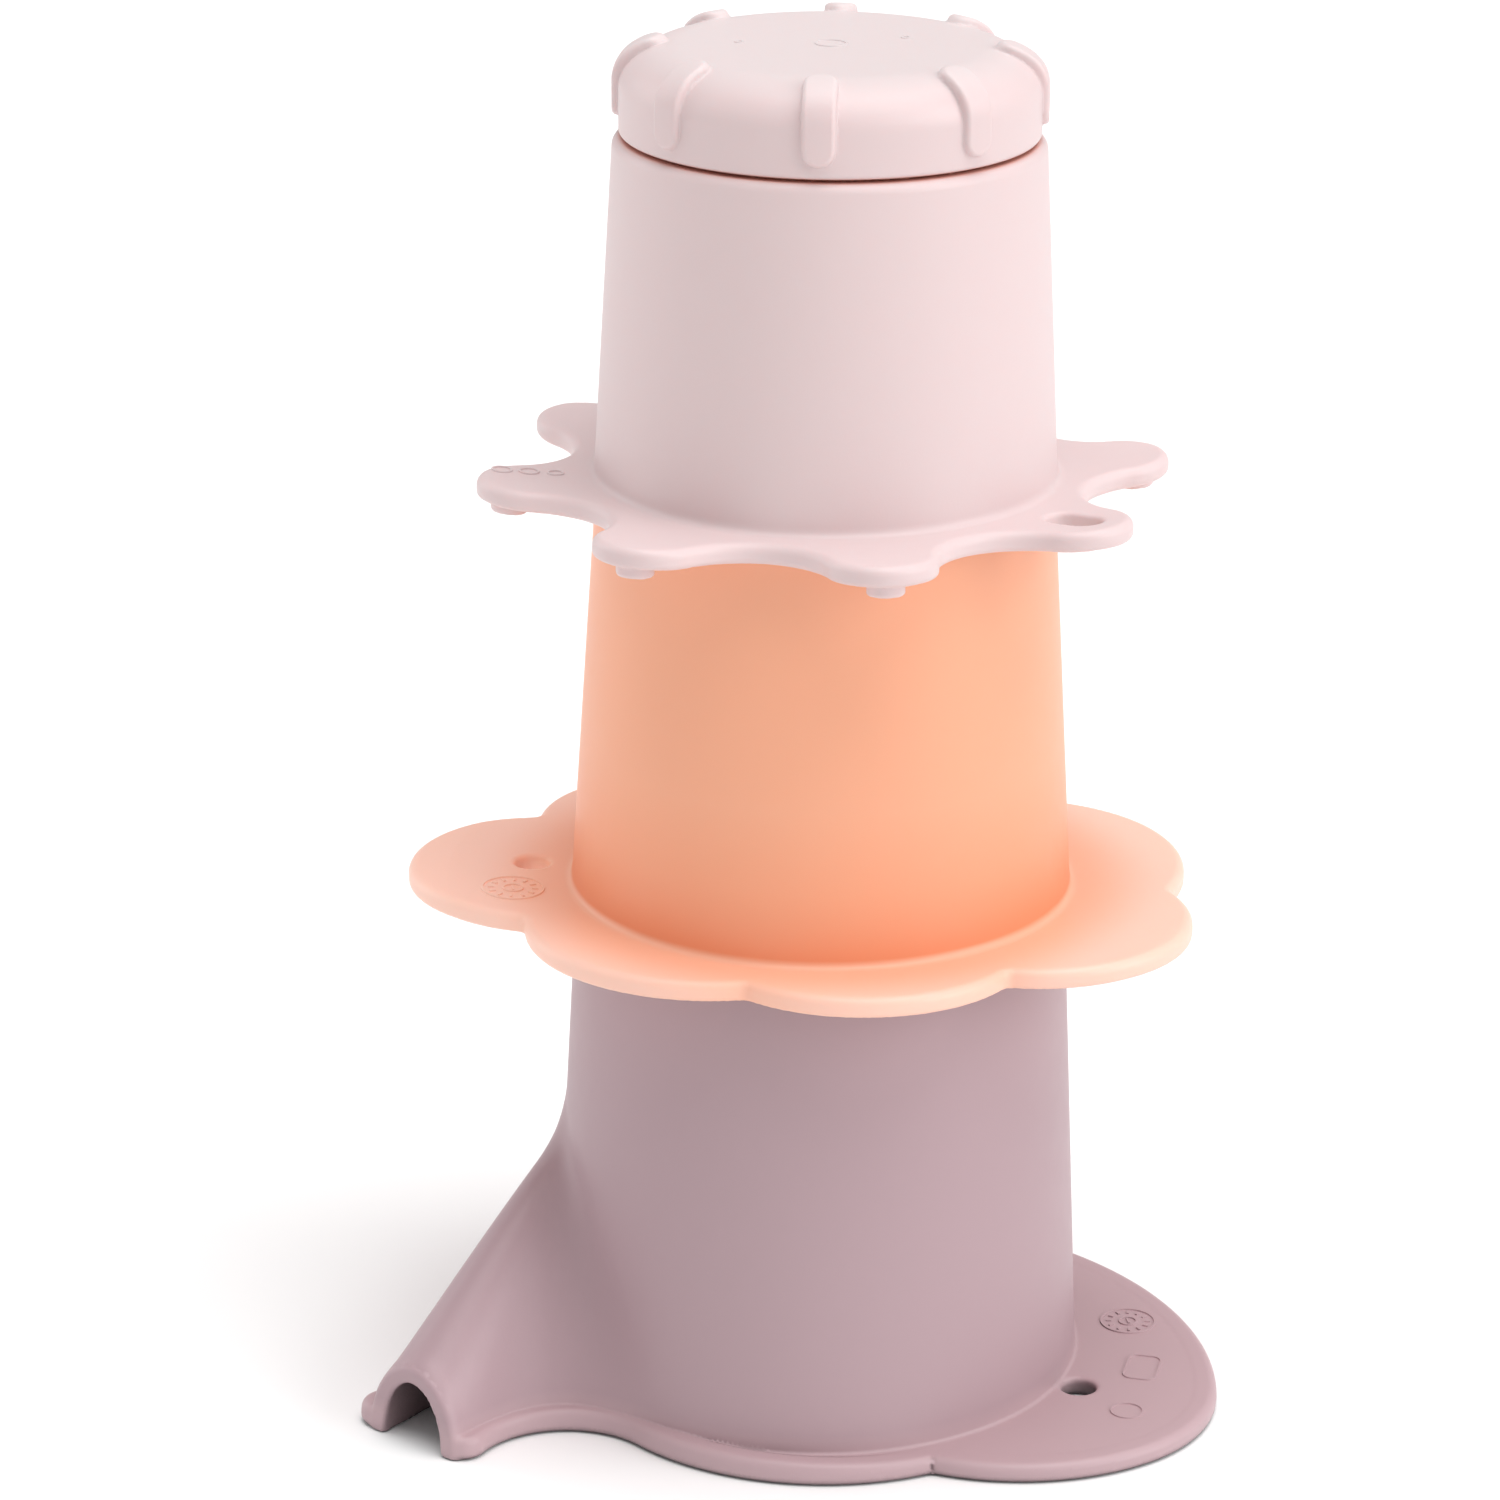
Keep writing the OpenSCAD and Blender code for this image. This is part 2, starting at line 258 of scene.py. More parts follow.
# The spout runs from its mouth towards the cup. Its arch spreads and rises on the way,
# and the rise bends over.
SPOUT_TURN = 22.8
ALONG = polar(1, SPOUT_TURN)
ACROSS = polar(1, SPOUT_TURN + 90)
MOUTH = np.array([-68.0, 0.0])
MOUTH_U, MOUTH_ROUND = -0.8, 0.9
SPOUT_END = 50
SPOUT_WIDTH, SPOUT_HEIGHT = 8.6, 12.6
CHANNEL_WIDTH, CHANNEL_HEIGHT = 5.7, 10.0
SPREAD, RISE, BEND = 0.03, 0.86, 0.0032
LIP, LIP_AT, LIP_LONG = 0.2, 0.4, 1.3

# The rim's outline, as arcs: the spout's feet, the hollow sweep to the front, the lobe
# and its corner, the long side, the back, the hollow far side, and the bowed mouth.
FOOT_R = 3.6
FOOT_RIGHT, FOOT_LEFT = -7.1, 8.7
SWEEP_R = 14.0
FRONT, FRONT_R = np.array([-3.0, -7.0]), 37.4
LOBE_TURN, LOBE_R = -81.3, 34.3
CORNER_TURN, CORNER_R = -32.5, 27.2
SIDE_TURN, SIDE_R = -102.6, 57.7
BACK_R = 44.6
FAR_R = 80.0
BOW_R = 400.0
BASE_HOLE = polar(43.5, -51.5)

# The bead along the rim's edge, and its swelling from SWELL_AT on towards the spout.
BEAD_IN, BEAD_HALF, BEAD_LOW, BEAD_EDGE, BEAD_FILLET = 2.1, 2.0, 1.2, 1.3, 0.3
SWELL, SWELL_AT, SWELL_OVER = 0.7, 42, 16

# The fillet between spout and wall grows towards the foot, and more so on the near flank.
FILLET, FILLET_FOOT, FILLET_NEAR = 4, 3, 15
FILLET_H, FLANK = 38, 8

BASE_RIM_FILLET = 0.6
CHANNEL_FILLET = 2.5
BASE_MOUTH_EDGE = 0.8
REST_EDGE = 0.25


def at_spout(u, v):
    """Place that lies u along the spout from its mouth and v across it."""
    return MOUTH + u * ALONG + v * ACROSS


def base_outline():
    """The rim's arcs in order, from the spout's right foot round to its left one."""
    side = polar(SIDE_R - BACK_R, SIDE_TURN)
    corner = side + polar(SIDE_R - CORNER_R, CORNER_TURN)
    lobe = corner - polar(LOBE_R - CORNER_R, LOBE_TURN)
    right = at_spout(FOOT_R + MOUTH_U, FOOT_RIGHT)
    left = at_spout(FOOT_R + MOUTH_U, FOOT_LEFT)
    sweep = meeting(right, FOOT_R + SWEEP_R, FRONT, FRONT_R + SWEEP_R)
    far = meeting(np.zeros(2), BACK_R + FAR_R, left, FOOT_R + FAR_R)
    half = math.dist(right, left) / 2
    bow = (right + left) / 2 + ALONG * math.sqrt((BOW_R - FOOT_R) ** 2 - half**2)
    return Outline(
        [
            (right, FOOT_R, 1),
            (sweep, SWEEP_R, -1),
            (FRONT, FRONT_R, 1),
            (lobe, LOBE_R, 1),
            (corner, CORNER_R, 1),
            (side, SIDE_R, 1),
            (np.zeros(2), BACK_R, 1),
            (far, FAR_R, -1),
            (left, FOOT_R, 1),
            (bow, BOW_R, 1),
        ]
    )


base_edge = base_outline()


def hood(u, v, z, width, height, lip):
    """Elliptical arch along the spout's line, swollen at its mouth by the lip."""
    bead = lip * np.exp(-(((u - LIP_AT) / LIP_LONG) ** 2))
    run = np.maximum(u, 0)
    w = width + SPREAD * run + bead
    c = height + RISE * run - BEND * run * run + bead
    a = np.maximum(np.abs(v), 1e-3) / w
    b = np.maximum(z, 1e-3) / c
    f = np.maximum(np.sqrt(a * a + b * b), 1e-3)
    slope = np.sqrt((a / w) ** 2 + (b / c) ** 2) / f
    return (f - 1) / np.maximum(slope, 1e-3)


def rim_bead(edge, z, u):
    """Rounded bead along the base rim's edge, which swells beside the spout."""
    high = RIM + SWELL * np.clip((SWELL_AT - u) / SWELL_OVER, 0, 1)
    flat = np.abs(edge + BEAD_IN) - BEAD_HALF
    return round_and(flat, np.maximum(z - high, BEAD_LOW - z), BEAD_EDGE)


def flank_fillet(v, z):
    """Width of the fillet between spout and wall."""
    near = np.clip(0.5 - v / FLANK, 0, 1)
    return FILLET + np.clip(1 - z / FILLET_H, 0, 1) * (FILLET_FOOT + FILLET_NEAR * near)


def base_shape(x, y, z):
    """Cup, spout, beaded rim and hanging hole."""
    r = np.hypot(x, y)
    u = (x - MOUTH[0]) * ALONG[0] + (y - MOUTH[1]) * ALONG[1]
    v = (x - MOUTH[0]) * ACROSS[0] + (y - MOUTH[1]) * ACROSS[1]
    cup = cup_solid(r, z, BASE_H, BASE_RADII, BASE_SHOULDER)
    spout = round_and(hood(u, v, z, SPOUT_WIDTH, SPOUT_HEIGHT, LIP), MOUTH_U - u, MOUTH_ROUND)
    body = soft_or(cup, np.maximum(spout, u - SPOUT_END), flank_fillet(v, z))
    edge = base_edge(x, y)
    body = soft_or(body, rim_solid(edge, z, RIM_EDGE, BASE_RIM_LOW), BASE_RIM_FILLET)
    body = soft_or(body, rim_bead(edge, z, u), BEAD_FILLET)
    hollow = cup_hollow(r, z, BASE_H, BASE_RADII)
    channel = np.maximum(hood(u, v, z, CHANNEL_WIDTH, CHANNEL_HEIGHT, 0), u - SPOUT_END)
    body = soft_and(body, -soft_or(hollow, channel, CHANNEL_FILLET), BASE_MOUTH_EDGE)
    hole = np.hypot(x - BASE_HOLE[0], y - BASE_HOLE[1]) - HANG_R
    body = soft_and(body, -hole, HOLE_EDGE)
    return round_and(body, -z, REST_EDGE)


base = skin("base_cup_moulding", base_shape, (-74, -58, -1.1), (57, 53, 82.5), STEP)

# ----------------------------------------------------------------- middle cup

MIDDLE_TURN = 147
WAVE_R = 56
CREASE_R = 1.8
MIDDLE_HOLE = polar(43.7, MIDDLE_TURN - 1.3)
WAVE_LIFT, WAVE_LIFT_R, WAVE_LIFT_OVER = 0.5, 42, 14
LIFT_POWER = 1.5

# Each lobe's turn, and its reach and radius as shares of WAVE_R.
LOBES = (
    (0, 1.111, 0.375),
    (49, 0.9, 0.475),
    (107.5, 0.886, 0.434),
    (159.4, 1.038, 0.402),
    (199.6, 1, 0.5),
    (258, 0.929, 0.446),
    (320, 0.946, 0.361),
)


def wave_outline():
    """Unequal round lobes, with a narrow crease between each two."""
    lobes = [(WAVE_R * polar(d - r, MIDDLE_TURN + a), WAVE_R * r) for a, d, r in LOBES]
    arcs = []
    for (p, a), (q, b) in zip(lobes, lobes[1:] + lobes[:1]):
        arcs.append((p, a, 1))
        arcs.append((meeting(p, a + CREASE_R, q, b + CREASE_R), CREASE_R, -1))
    return Outline(arcs)


wave_edge = wave_outline()


def middle_lift(r):
    """The wavy rim rises a little towards its edge."""
    return WAVE_LIFT * np.clip((r - WAVE_LIFT_R) / WAVE_LIFT_OVER, 0, 1) ** LIFT_POWER


def middle_shape(x, y, z):
    """Cup, wavy rim and hanging hole."""
    r = np.hypot(x, y)
    cup = np.maximum(cup_solid(r, z, MIDDLE_H, MIDDLE_RADII, MIDDLE_SHOULDER), -z)
    rim = rim_solid(wave_edge(x, y), z - middle_lift(r), RIM_EDGE, MIDDLE_RIM_LOW)
    body = soft_or(cup, rim, RIM_FILLET)
    body = soft_and(body, -cup_hollow(r, z, MIDDLE_H, MIDDLE_INNER_RADII), MOUTH_EDGE)
    hole = np.hypot(x - MIDDLE_HOLE[0], y - MIDDLE_HOLE[1]) - HANG_R
    return soft_and(body, -hole, HOLE_EDGE)


middle = skin(
    "middle_cup_moulding",
    middle_shape,
    (-56.5, -55.5, -1.1),
    (58.5, 52.5, 69.7),
    STEP,
    MIDDLE_Z,
)

# -------------------------------------------------------------------- top cup

ARM_TURN = -108.4
ARMS = 8
ARM_END_AT, ARM_END_R = 43.2, 8.0
VALLEY_R = 38.5
ARM_LIFT, ARM_LIFT_R, ARM_LIFT_OVER = 0.9, 37, 13
ARM_FOOT_AT, ARM_FOOT_R, ARM_FOOT_H = 46.5, 2.7, 2
ARM_FOOT_TOP, ARM_FOOT_EDGE, ARM_FOOT_FILLET = 1, 0.5, 0.6
SLOT_ARM = 1
SLOT_AT, SLOT_HALF, SLOT_R = 42.7, 1.7, 2.6


def arm_angle(i):
    """Direction of arm i in degrees."""
    return ARM_TURN + i * 360 / ARMS


def arm_outline():
    """Round arm ends, joined by round valleys that touch them."""
    half = math.pi / ARMS
    a = ARM_END_AT**2 + VALLEY_R**2 - 2 * ARM_END_AT * VALLEY_R * math.cos(half)
    b = 2 * (ARM_END_AT * math.cos(half) - VALLEY_R + ARM_END_R)
    gap = (a - ARM_END_R**2) / b
    arcs = []
    for i in range(ARMS):
        arcs.append((polar(ARM_END_AT, arm_angle(i)), ARM_END_R, 1))
        arcs.append((polar(VALLEY_R + gap, arm_angle(i + 0.5)), gap, -1))
    return Outline(arcs)


arm_edge = arm_outline()


def arm_lift(r):
    """The arms rise a little towards their ends."""
    return ARM_LIFT * np.clip((r - ARM_LIFT_R) / ARM_LIFT_OVER, 0, 1) ** LIFT_POWER


def arm_slot(x, y):
    """Oblong hanging hole along one arm."""
    c = polar(SLOT_AT, arm_angle(SLOT_ARM))
    e = polar(1, arm_angle(SLOT_ARM))
    s = (x - c[0]) * e[0] + (y - c[1]) * e[1]
    t = -(x - c[0]) * e[1] + (y - c[1]) * e[0]
    return np.hypot(s - np.clip(s, -SLOT_HALF, SLOT_HALF), t) - SLOT_R


def top_shape(x, y, z):
    """Cup, rim with round arms, a foot under each arm but one, and the slot in that one."""
    r = np.hypot(x, y)
    cup = np.maximum(cup_solid(r, z, TOP_H, TOP_RADII, TOP_SHOULDER), -z)
    lift = arm_lift(r)
    rim = rim_solid(arm_edge(x, y), z - lift, RIM_EDGE, TOP_RIM_LOW)
    body = soft_or(cup, rim, RIM_FILLET)
    for i in range(ARMS):
        if i == SLOT_ARM:
            continue
        c = polar(ARM_FOOT_AT, arm_angle(i))
        foot = np.hypot(x - c[0], y - c[1]) - ARM_FOOT_R
        foot = round_and(foot, lift - z - ARM_FOOT_H, ARM_FOOT_EDGE)
        body = soft_or(body, np.maximum(foot, z - ARM_FOOT_TOP), ARM_FOOT_FILLET)
    body = soft_and(body, -cup_hollow(r, z, TOP_H, TOP_RADII), MOUTH_EDGE)
    return soft_and(body, -arm_slot(x, y), HOLE_EDGE)


top = skin("top_cup_moulding", top_shape, (-52.5, -52.5, -3.1), (52.5, 52.5, 58.7), STEP, TOP_Z)

# ------------------------------------------------------------------------ cap

CAP_ROUND, CAP_DRAFT = 6.5, 0.76
CAP_FLAT = 0.3
CAP_INNER_EDGE = 0.5

# A narrow seam under the cap shows the ledge that it stands on.
SEAM, SEAM_EDGE = 0.45, 0.6
LEDGE_R, LEDGE_H = 28.8, 2

# A rib runs from RIB_LOW up over the corner to its tip, where it ends along TIP_WAY.
RIB_TURN = -121.9
RIBS = 8
RIB_HALF = 2.4
RIB_LOW = 2.3
TIP_R, TIP_Z = 25.2, 11.9
TIP_WAY = (0.77, 0.64)
RIB_OUT, RIB_OVER, RIB_PROUD = 1.0, 0.8, 1.3
RIB_EDGE, RIB_FILLET = 0.6, 0.25


def cap_rib(r, turn, z, body):
    """Ribs over the cap's corner, round at both ends and proud of the body."""
    turn = np.radians((turn + 180 / RIBS) % (360 / RIBS) - 180 / RIBS)
    s, t = r * np.cos(turn), r * np.sin(turn)
    past_tip = (s - TIP_R) * TIP_WAY[0] - (z - TIP_Z) * TIP_WAY[1]
    tip = np.hypot(np.minimum(past_tip, 0), t) - RIB_HALF
    tail = np.hypot(np.minimum(z - (RIB_LOW + RIB_HALF), 0), t) - RIB_HALF
    grown = round_and((r - CAP_R - RIB_OUT) * CAP_DRAFT, z - CAP_H - RIB_OVER, CAP_ROUND)
    return round_and(np.maximum(tip, tail), np.maximum(grown, body - RIB_PROUD), RIB_EDGE)


def cap_shape(x, y, z):
    """Round-cornered lid with its seam, ledge and ribs, hollow below."""
    r = np.hypot(x, y)
    body = round_and((r - CAP_R) * CAP_DRAFT, z - (CAP_H - CAP_FLAT), CAP_ROUND)
    body = np.maximum(body, round_and(r - CAP_R, SEAM - z, SEAM_EDGE))
    body = np.minimum(body, np.maximum(r - LEDGE_R, np.maximum(-z, z - LEDGE_H)))
    turn = np.degrees(np.arctan2(y, x)) - RIB_TURN
    body = soft_or(body, cap_rib(r, turn, z, body), RIB_FILLET)
    inner = round_and(r - (CAP_R - WALL), z - (CAP_H - WALL), CAP_ROUND - WALL)
    return soft_and(body, -inner, CAP_INNER_EDGE)


cap = skin("cap_moulding", cap_shape, (-32, -32, -1), (32, 32, 15), CAP_STEP, CAP_Z)

# ----------------------------------------------------------------- mould marks
# Plain raised lines, placed by x and y in millimetres and angles in degrees.


def ring(x, y, r, n=48):
    """Closed line of n points; every line here comes with whether it is closed."""
    a = np.arange(n) * 2 * math.pi / n
    return np.stack([x + r * np.cos(a), y + r * np.sin(a)], axis=1), True


def bar(x, y, near, far, angle):
    """Straight line outward from x, y."""
    return np.array([[x, y] + polar(d, angle) for d in np.linspace(near, far, 4)]), False


def dial(x, y, r):
    """Plain dial: two rings, ticks and a hand."""
    ticks = [bar(x, y, 0.62 * r, 0.82 * r, 30 * i) for i in range(12)]
    return [ring(x, y, r), ring(x, y, 0.32 * r, 24), bar(x, y, -0.2 * r, 0.2 * r, 70)] + ticks


def plate(x, y, length, width, angle):
    """Plain frame with round corners."""
    corner = 0.3 * width
    a = np.radians(np.arange(0, 360, 10) + 5)
    u = np.sign(np.cos(a)) * (length / 2 - corner) + corner * np.cos(a)
    v = np.sign(np.sin(a)) * (width / 2 - corner) + corner * np.sin(a)
    e, f = polar(1, angle), polar(1, angle + 90)
    return np.array([x, y]) + u[:, None] * e + v[:, None] * f, True


def relief(name, lines, ground, wide=0.5, proud=0.2):
    """Low raised lines on a face whose height at a distance from the axis is ground."""
    sunk = 0.15
    section = ((-0.5, -sunk), (-0.3, proud), (0.3, proud), (0.5, -sunk))
    points, faces = [], []
    for line, closed in lines:
        n, first = len(line), len(points)
        if closed:
            ahead = np.roll(line, -1, axis=0) - np.roll(line, 1, axis=0)
        else:
            ahead = np.gradient(line, axis=0)
        side = np.stack([-ahead[:, 1], ahead[:, 0]], axis=1)
        side = side * wide / np.linalg.norm(side, axis=1)[:, None]
        for p, e in zip(line, side):
            for across, high in section:
                x, y = p + across * e
                points.append((x * MM, y * MM, (ground(math.hypot(x, y)) + high) * MM))
        for i in range(n if closed else n - 1):
            a, b = first + 4 * i, first + 4 * ((i + 1) % n)
            faces += [(a + k, b + k, b + (k + 1) % 4, a + (k + 1) % 4) for k in range(4)]
        if not closed:
            last = first + 4 * (n - 1)
            faces.append(tuple(range(first, first + 4)))
            faces.append(tuple(range(last + 3, last - 1, -1)))
    mesh = bpy.data.meshes.new(name)
    mesh.from_pydata(points, [], faces)
    obj = bpy.data.objects.new(name, mesh)
    bpy.context.collection.objects.link(obj)
    return obj


base_marks = relief(
    "base_rim_marks",
    dial(45.5, -18.7, 4.2) + [plate(39.0, -33.3, 8.0, 5.0, 49), ring(29.3, -44.5, 2.4)],
    lambda r: RIM,
)
middle_marks = relief(
    "middle_rim_marks",
    dial(-43.6, 15.8, 4.6),
    lambda r: MIDDLE_Z + RIM + middle_lift(r),
)
top_marks = relief(
    "top_rim_marks",
    [ring(-43.4, 18.6, 1.4, 24), ring(-39.8, 17.0, 1.4, 24), ring(-36.4, 15.2, 1.1, 24)],
    lambda r: TOP_Z + RIM + arm_lift(r),
    0.45,
)
cap_marks = relief(
    "cap_face_marks",
    [ring(0, 0, 2.2), ring(-11.3, 6.5, 0.6, 16), ring(11.5, -1.2, 0.6, 16)],
    lambda r: CAP_Z + CAP_H - CAP_FLAT,
    0.4,
    0.12,
)

# ------------------------------------------------------------------ materials
# Shader lengths are in metres.

GRAIN_SCALE, GRAIN_DETAIL, GRAIN_DEPTH = 2600, 3, 0.00005
CLOUD_SCALE, CLOUD_DETAIL, CLOUD_ROUGH = 300, 2, 0.04
SCATTER_SCALE = 0.002
PLASTIC_IOR = 1.49
# Ambient occlusion that paints shade into deep places: its reach, the range it is read over,
# and its samples.
PAINTED_SHADE_REACH, PAINTED_SHADE_LOW, PAINTED_SHADE_HIGH = 0.015, 0.1, 0.5
PAINTED_SHADE_SAMPLES = 8


def wire(node, inputs):
    """Gives each input of a node its value, or links it to the output that is given."""
    for name, value in inputs.items():
        if isinstance(value, bpy.types.NodeSocket):
            node.id_data.links.new(value, node.inputs[name])
        else:
            node.inputs[name].default_value = value


def moulded(name, colour, rough, grain, depth=0.0, radius=(1.0, 0.5, 0.3)):
    """Matt moulded plastic with a fine grain; depth is how much light scatters inside."""
    m = bpy.data.materials.new(name)
    m.use_nodes = True
    nodes = m.node_tree.nodes
    place = nodes.new("ShaderNodeTexCoord").outputs["Object"]
    noise = nodes.new("ShaderNodeTexNoise")
    wire(noise, {"Vector": place, "Scale": GRAIN_SCALE, "Detail": GRAIN_DETAIL})
    bump = nodes.new("ShaderNodeBump")
    wire(bump, {"Height": noise.outputs["Fac"], "Strength": grain, "Distance": GRAIN_DEPTH})
    cloud = nodes.new("ShaderNodeTexNoise")
    wire(cloud, {"Vector": place, "Scale": CLOUD_SCALE, "Detail": CLOUD_DETAIL})
    spread = nodes.new("ShaderNodeMapRange")
    wire(spread, {"Value": cloud.outputs["Fac"]})
    wire(spread, {"To Min": rough - CLOUD_ROUGH, "To Max": rough + CLOUD_ROUGH})
    wire(
        nodes["Principled BSDF"],
        {
            "Base Color": (*colour, 1),
            "Roughness": spread.outputs["Result"],
            "IOR": PLASTIC_IOR,
            "Subsurface Weight": depth,
            "Subsurface Radius": radius,
            "Subsurface Scale": SCATTER_SCALE,
            "Normal": bump.outputs["Normal"],
        },
    )
    return m


def ramp_by_height(nodes, place, level, stops):
    """Colour by height; each stop is a height above the level, in mm, and its colour."""
    last = stops[-1][0]
    split = nodes.new("ShaderNodeSeparateXYZ")
    wire(split, {"Vector": place})
    height = nodes.new("ShaderNodeMapRange")
    wire(height, {"Value": split.outputs["Z"]})
    wire(height, {"From Min": level * MM, "From Max": (level + last) * MM})
    ramp = nodes.new("ShaderNodeValToRGB")
    points = ramp.color_ramp.elements
    while len(points) < len(stops):
        points.new(1.0)
    for point, (at, colour) in zip(points, stops):
        point.position = at / last
        point.color = (*colour, 1)
    wire(ramp, {"Fac": height.outputs["Result"]})
    return ramp.outputs["Color"]


def painted_shade_where_deep(nodes, colour, painted_shade_keeps):
    """The colour with painted shade: the deepest places, found by ambient occlusion, keep only
    the given share of it.
    """
    hollow = nodes.new("ShaderNodeAmbientOcclusion")
    hollow.samples = PAINTED_SHADE_SAMPLES
    wire(hollow, {"Distance": PAINTED_SHADE_REACH})
    deep = nodes.new("ShaderNodeMapRange")
    wire(deep, {"Value": hollow.outputs["AO"], "To Min": painted_shade_keeps})
    wire(deep, {"From Min": PAINTED_SHADE_LOW, "From Max": PAINTED_SHADE_HIGH})
    shade = nodes.new("ShaderNodeVectorMath")
    shade.operation = "SCALE"
    wire(shade, {0: colour, "Scale": deep.outputs["Result"]})
    return shade.outputs["Vector"]


def painted_glow_at_margin(nodes, place, colour, near, far, pale):
    """The colour, which turns pale between two distances from the axis, in mm, as a painted
    glow of light through the thin margin.
    """
    flat = nodes.new("ShaderNodeVectorMath")
    flat.operation = "MULTIPLY"
    wire(flat, {0: place, 1: (1, 1, 0)})
    reach = nodes.new("ShaderNodeVectorMath")
    reach.operation = "LENGTH"
    wire(reach, {0: flat.outputs["Vector"]})
    share = nodes.new("ShaderNodeMapRange")
    share.interpolation_type = "SMOOTHSTEP"
    wire(share, {"Value": reach.outputs["Value"], "From Min": near * MM, "From Max": far * MM})
    mix = nodes.new("ShaderNodeMix")
    mix.data_type = "RGBA"
    wire(mix, {"Factor": share.outputs["Result"], "A": colour, "B": (*pale, 1)})
    return mix.outputs["Result"]


def tinted_with_painted_light(m, level, stops, painted_glow=0.0, painted_glow_margin=None, painted_shade_keeps=0.8):
    """Colours a moulded finish by the place on the cup, with painted shade in deep places, and
    lets it glow from inside as a painted glow.
    """
    nodes = m.node_tree.nodes
    place = nodes["Texture Coordinate"].outputs["Object"]
    colour = ramp_by_height(nodes, place, level, stops)
    colour = painted_shade_where_deep(nodes, colour, painted_shade_keeps)
    if painted_glow_margin:
        colour = painted_glow_at_margin(nodes, place, colour, *painted_glow_margin)
    wire(nodes["Principled BSDF"], {"Base Color": colour})
    if painted_glow:
        wire(nodes["Principled BSDF"], {"Emission Color": colour, "Emission Strength": painted_glow})


MAUVE = (0.44, 0.307, 0.335)
# Painted light: the rim is paler, as if lit more from above.
MAUVE_RIM_LIT = (0.50, 0.35, 0.375)
ORANGE = (0.80, 0.365, 0.222)
# Painted light: the orange rim is paler, as if lit from above and through the plastic.
ORANGE_RIM_LIT = (0.84, 0.42, 0.28)
# Painted shade: deeper orange at the rim's root and low on the wall.
ORANGE_ROOT_SHADE = (0.76, 0.26, 0.13)
ORANGE_LOW_SHADE = (0.79, 0.32, 0.18)
# Painted glow: the outer margin of the orange rim is paler, as if lit through the thin plastic.
ORANGE_EDGE_GLOW = (0.85, 0.54, 0.44)
PINK = (0.718, 0.572, 0.572)
# Painted shade: a dark reddish line in the seam gap under the cap, as if light bounced red
# there. It is set by height, so it stays on the top cup's shoulder and on the cap's lower edge
# when the cap is lifted.
PINK_SEAM_SHADE = (0.72, 0.30, 0.22)
# Painted light: the cap's top is paler, as if lit more from above.
PINK_TOP_LIT = (0.73, 0.625, 0.625)

mauve = moulded("mauve_moulded", MAUVE, 0.45, 0.25)
# Up the mauve cup: the rim is paler by painted light, then comes the plain colour.
mauve_stops = ((0, MAUVE_RIM_LIT), (3.6, MAUVE_RIM_LIT), (6, MAUVE), (90, MAUVE))
# Strong painted shade in the mauve cup's deep places, such as inside the spout's channel.
tinted_with_painted_light(mauve, 0, mauve_stops, painted_shade_keeps=0.12)

orange = moulded("orange_translucent", ORANGE, 0.42, 0.2, 0.15)
# Up the orange cup: the rim is paler by painted light, then painted shade at the rim's root and
# low on the wall, then the plain colour.
orange_stops = (
    (0, ORANGE_RIM_LIT),
    (3.3, ORANGE_RIM_LIT),
    (4.2, ORANGE_ROOT_SHADE),
    (14, ORANGE_LOW_SHADE),
    (26, ORANGE),
    (60, ORANGE),
)
# The orange cup glows weakly as emission and its rim's margin is paler, both a painted glow
# standing in for light through the translucent plastic.
tinted_with_painted_light(orange, MIDDLE_Z, orange_stops, painted_glow=0.12, painted_glow_margin=(39, 52, ORANGE_EDGE_GLOW))

pink = moulded("pink_moulded", PINK, 0.45, 0.22, 0.2, (1.0, 0.5, 0.45))
# Up the pink cup and cap: painted shade in the seam gap, then painted light on the cap's top.
pink_stops = (
    (0, PINK),
    (TOP_H - 0.2, PINK),
    (TOP_H - 0.1, PINK_SEAM_SHADE),
    (TOP_H + 0.35, PINK_SEAM_SHADE),
    (TOP_H + 0.7, PINK),
    (TOP_H + CAP_H - 3, PINK),
    (TOP_H + CAP_H, PINK_TOP_LIT),
)
tinted_with_painted_light(pink, TOP_Z, pink_stops)

for obj, body, node, slot, material in (
    (base, "base", "base_cup", "mauve_pp", mauve),
    (middle, "middle", "middle_cup", "orange_pp", orange),
    (top, "top", "top_cup", "pink_pp", pink),
    (cap, "lid", "cap", "pink_pp", pink),
    (base_marks, "base", "base_cup", "mauve_pp", mauve),
    (middle_marks, "middle", "middle_cup", "orange_pp", orange),
    (top_marks, "top", "top_cup", "pink_pp", pink),
    (cap_marks, "lid", "cap", "pink_pp", pink),
):
    obj.data.materials.append(material)
    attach(obj, body)
    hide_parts(node)

# ---------------------------------------------------------------------- stage

WORLD_LIGHT = 0.47
VIEW_TURN = 28.9


def floor():
    """Wide white floor, matt enough to mirror nothing."""
    half = 3.0
    mesh = bpy.data.meshes.new("floor")
    corners = [(-half, -half, 0), (half, -half, 0), (half, half, 0), (-half, half, 0)]
    mesh.from_pydata(corners, [], [(0, 1, 2, 3)])
    obj = bpy.data.objects.new("floor", mesh)
    bpy.context.collection.objects.link(obj)
    m = bpy.data.materials.new("floor_white")
    m.use_nodes = True
    finish = {"Base Color": (0.95, 0.95, 0.95, 1), "Roughness": 0.9, "Specular IOR Level": 0.0}
    wire(m.node_tree.nodes["Principled BSDF"], finish)
    mesh.materials.append(m)
    return obj


def sun(name, place, angle, power):
    """Sun that shines from a place to the origin; a wider angle gives softer shadows."""
    data = bpy.data.lights.new(name, "SUN")
    data.angle = math.radians(angle)
    data.energy = power
    obj = bpy.data.objects.new(name, data)
    obj.location = place
    obj.rotation_mode = "QUATERNION"
    obj.rotation_quaternion = (-Vector(place)).to_track_quat("-Z", "Y")
    bpy.context.collection.objects.link(obj)
    return obj


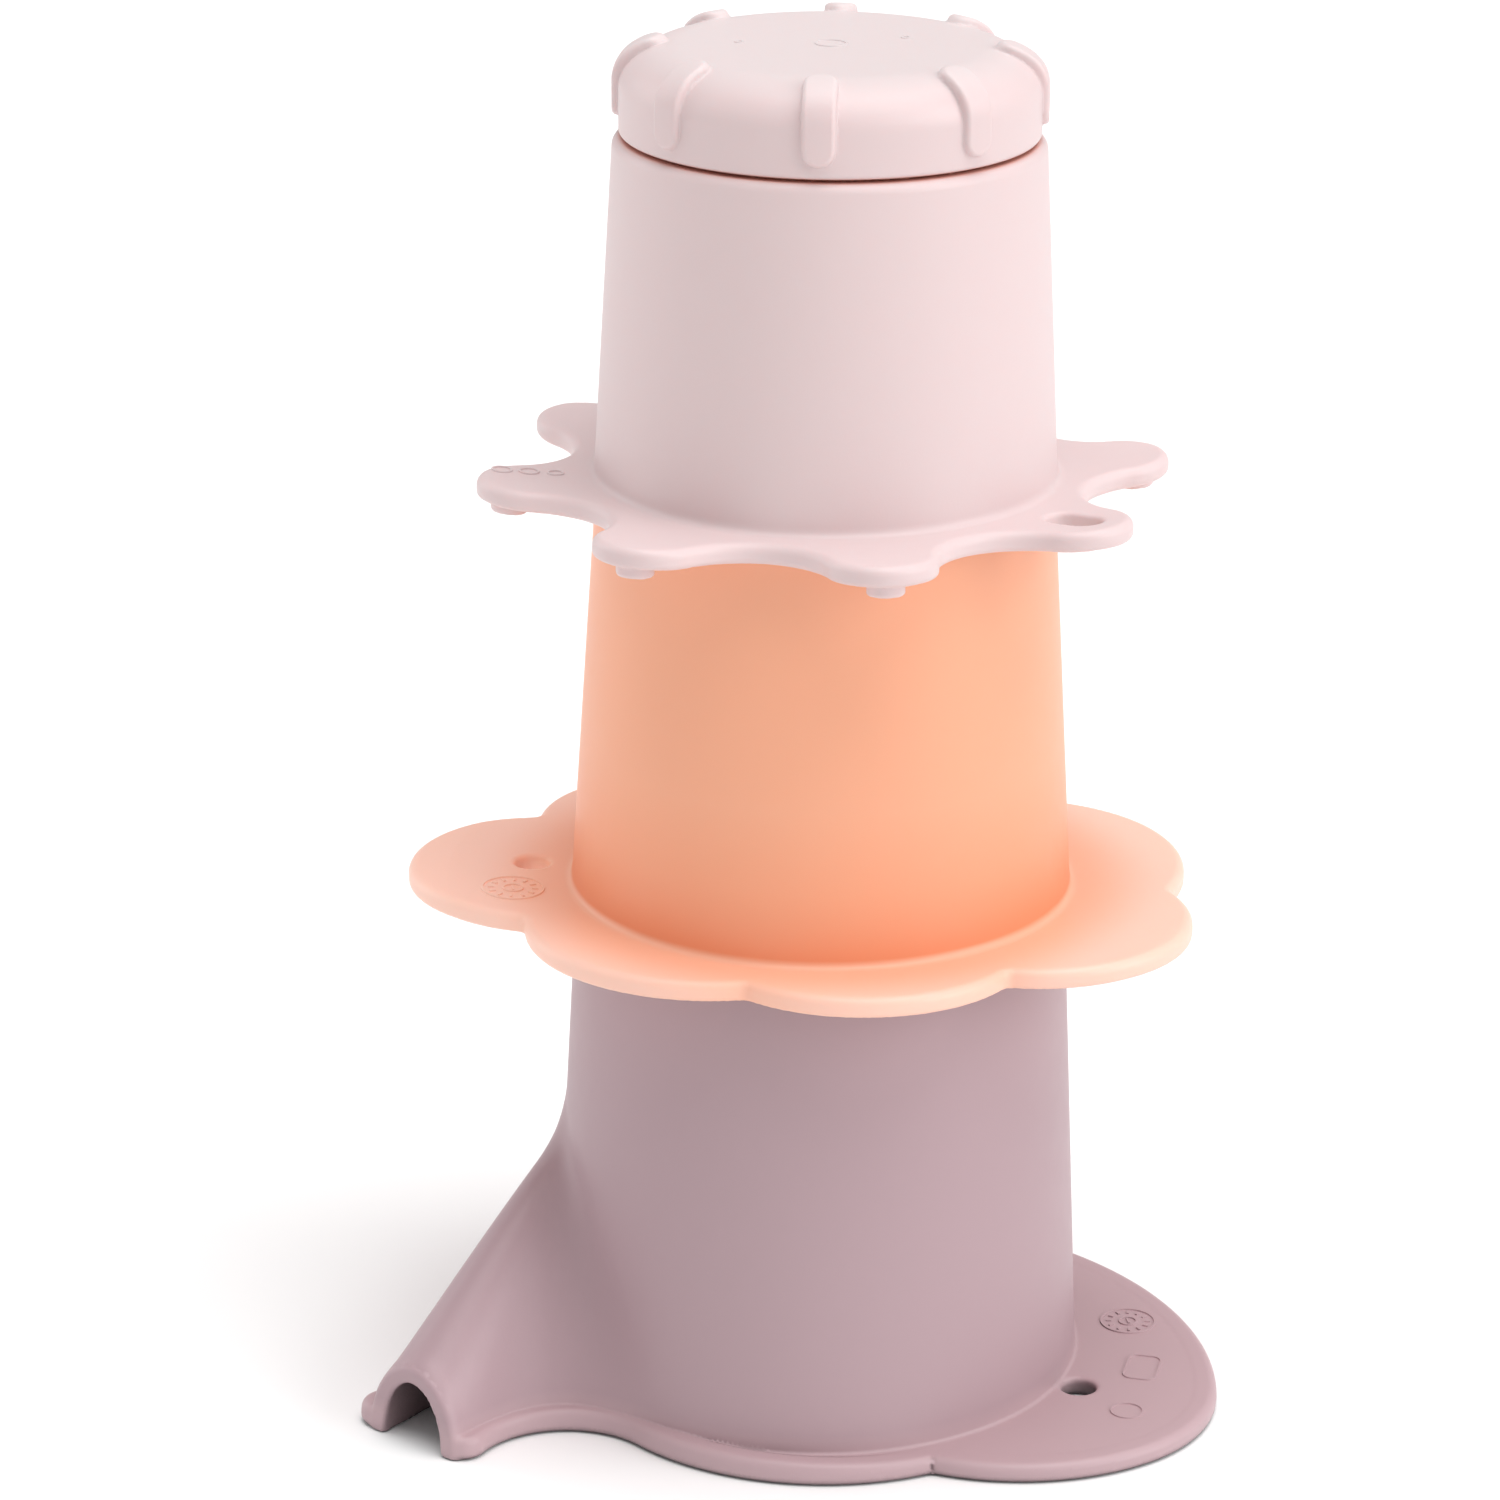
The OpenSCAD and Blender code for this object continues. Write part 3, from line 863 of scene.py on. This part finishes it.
def from_view(x, y, z):
    """A place given right of, beyond and above the tower's foot, as the camera sees it."""
    a = math.radians(VIEW_TURN)
    return x * math.cos(a) + y * math.sin(a), -x * math.sin(a) + y * math.cos(a), z


floor()
sun("key", from_view(0.92, -0.38, 0.45), 40, 1.25)
sun("overhead", from_view(0.15, -0.1, 1.0), 50, 1.95)
sun("rim", from_view(-0.9, 0.43, 0.3), 40, 0.6)


def studio():
    """White world, dimmer as a light than it looks to the camera."""
    world = bpy.data.worlds.new("studio")
    bpy.context.scene.world = world
    world.use_nodes = True
    nodes = world.node_tree.nodes
    wire(nodes["Background"], {"Color": (1, 1, 1, 1), "Strength": WORLD_LIGHT})
    plain = nodes.new("ShaderNodeBackground")
    wire(plain, {"Color": (1, 1, 1, 1), "Strength": 1.0})
    path = nodes.new("ShaderNodeLightPath")
    mix = nodes.new("ShaderNodeMixShader")
    wire(mix, {0: path.outputs["Is Camera Ray"], 1: nodes["Background"].outputs["Background"]})
    wire(mix, {2: plain.outputs["Background"]})
    wire(nodes["World Output"], {"Surface": mix.outputs["Shader"]})


studio()

# --------------------------------------------------------------------- camera

PITCH, YAW, ROLL = 19.772, -0.867, 0.436
FOCAL, SENSOR = 121.6, 36
EYE_BACK, EYE_UP = 0.7098, 0.3542


def aim(camera):
    """Puts the camera at its eye, pitched down, turned by the yaw and rolled."""
    pitch, yaw, roll = math.radians(PITCH), math.radians(YAW), math.radians(ROLL)
    flat = math.cos(pitch)
    ahead = Vector(from_view(math.sin(yaw) * flat, math.cos(yaw) * flat, -math.sin(pitch)))
    level = Vector(from_view(math.cos(yaw), -math.sin(yaw), 0))
    over = level.cross(ahead)
    right = level * math.cos(roll) + over * math.sin(roll)
    up = over * math.cos(roll) - level * math.sin(roll)
    turn = Matrix((right, up, -ahead)).transposed().to_4x4()
    camera.matrix_world = Matrix.Translation(from_view(0, -EYE_BACK, EYE_UP)) @ turn


lens = bpy.data.cameras.new("camera")
lens.lens = FOCAL
lens.sensor_width = SENSOR
camera = bpy.data.objects.new("camera", lens)
bpy.context.collection.objects.link(camera)
aim(camera)
bpy.context.scene.camera = camera
bpy.context.scene.view_settings.view_transform = "Standard"
